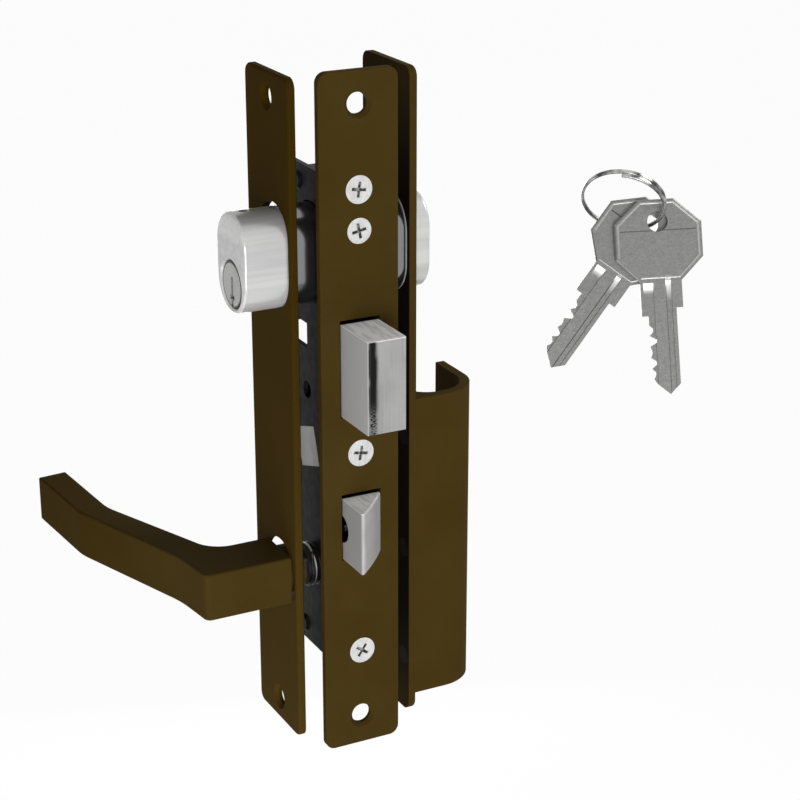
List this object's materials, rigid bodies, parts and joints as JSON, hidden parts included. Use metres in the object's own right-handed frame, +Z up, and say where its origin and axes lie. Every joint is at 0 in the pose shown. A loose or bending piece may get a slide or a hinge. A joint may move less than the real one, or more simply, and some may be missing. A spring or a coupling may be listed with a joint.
{
  "type": "mortise lock",
  "caption": "Narrow-stile mortise lock: faceplate with deadbolt and bevelled latch, lever inside, pull outside, double key cylinder and a key ring.",
  "frame": {"origin": "middle of the faceplate's outer face, between its two mounting holes", "axes": "+Y into the door from the faceplate's outer face, +Z up, -X towards the lever's side and +X towards the pull's side"},
  "size_m": [0.1605, 0.1362, 0.2032],
  "materials": {
    "bronze_paint": "satin dark bronze paint",
    "chrome_satin": "satin chrome",
    "bolt_steel": "fine brushed",
    "case_zinc": "dull zinc plate",
    "screw_zinc": "bright zinc plate",
    "pin_brass": "turned",
    "spring_steel": "drawn wire",
    "cam_steel": "sintered",
    "key_nickel": "nickel plate, lightly worn",
    "label_film": "printed film, left blank",
    "black_steel": "black oxide"
  },
  "bodies": {
    "lock_case": {"faceplate": "bronze_paint", "faceplate_screws": "screw_zinc", "cylinder_retaining_screw": "screw_zinc", "case_front_plate": "case_zinc", "case_body": "case_zinc", "case_cover": "case_zinc", "case_rivets": "case_zinc", "case_label": "label_film", "cylinder_body": "chrome_satin", "interior_driver_pins": "pin_brass", "interior_pin_springs": "spring_steel", "interior_chamber_caps": "pin_brass", "exterior_driver_pins": "pin_brass", "exterior_pin_springs": "spring_steel", "exterior_chamber_caps": "pin_brass", "latch_spring": "spring_steel", "follower_spring": "spring_steel", "interior_escutcheon": "bronze_paint", "exterior_escutcheon": "bronze_paint", "pull_handle": "bronze_paint", "pull_screws": "screw_zinc", "key_ring": "key_nickel"},
    "interior_plug": {"interior_plug": "chrome_satin", "interior_plug_clip": "spring_steel", "interior_key_pins": "pin_brass"},
    "exterior_plug": {"exterior_plug": "chrome_satin", "exterior_plug_clip": "spring_steel", "exterior_key_pins": "pin_brass"},
    "cam": {"cylinder_cam": "cam_steel"},
    "deadbolt": {"deadbolt": "bolt_steel"},
    "latch": {"latch_bolt": "bolt_steel", "latch_pin": "screw_zinc", "latch_tail": "cam_steel"},
    "lever": {"lever_handle": "bronze_paint", "lever_grub_screw": "black_steel", "spindle": "cam_steel", "follower": "cam_steel"},
    "key_front": {"key_front": "key_nickel"},
    "key_back": {"key_back": "key_nickel"}
  },
  "joints": [
    {"name": "interior_plug_turn", "type": "hinge", "parent": "lock_case", "child": "interior_plug", "pos_m": [0, 0.0145, 0.0424], "axis": [1, 0, 0], "range_deg": [0, 69.05]},
    {"name": "cam_turn", "type": "hinge", "parent": "lock_case", "child": "cam", "pos_m": [0, 0.0145, 0.0424], "axis": [1, 0, 0], "range_deg": [0, 69.05]},
    {"name": "exterior_plug_turn", "type": "hinge", "parent": "lock_case", "child": "exterior_plug", "pos_m": [0, 0.0145, 0.0424], "axis": [1, 0, 0], "range_deg": [0, 69.04]},
    {"name": "deadbolt_slide", "type": "slide", "parent": "lock_case", "child": "deadbolt", "axis": [0, 1, 0], "range_m": [0, 0.017]},
    {"name": "lever_turn", "type": "hinge", "parent": "lock_case", "child": "lever", "pos_m": [0, 0.0145, -0.0465], "axis": [-1, 0, 0], "range_deg": [0, 56.25]},
    {"name": "latch_slide", "type": "slide", "parent": "lock_case", "child": "latch", "axis": [0, 1, 0], "range_m": [0, 0.01321], "deforming": ["latch_spring"]},
    {"name": "key_front_swing", "type": "hinge", "parent": "lock_case", "child": "key_front", "pos_m": [0.08379, -0.02031, 0.05408], "axis": [-0.4292, -0.8315, 0.3527], "range_deg": [-20, 20]},
    {"name": "key_back_swing", "type": "hinge", "parent": "lock_case", "child": "key_back", "pos_m": [0.08247, -0.01753, 0.05252], "axis": [-0.4292, -0.8315, 0.3527], "range_deg": [-20, 20]}
  ],
  "couplings": [
    {"joint": "interior_plug_turn", "follows": "deadbolt_slide", "rad_per_m": 70.877},
    {"joint": "cam_turn", "follows": "deadbolt_slide", "rad_per_m": 70.877},
    {"joint": "latch_slide", "follows": "lever_turn", "m_per_rad": 0.013444}
  ]
}
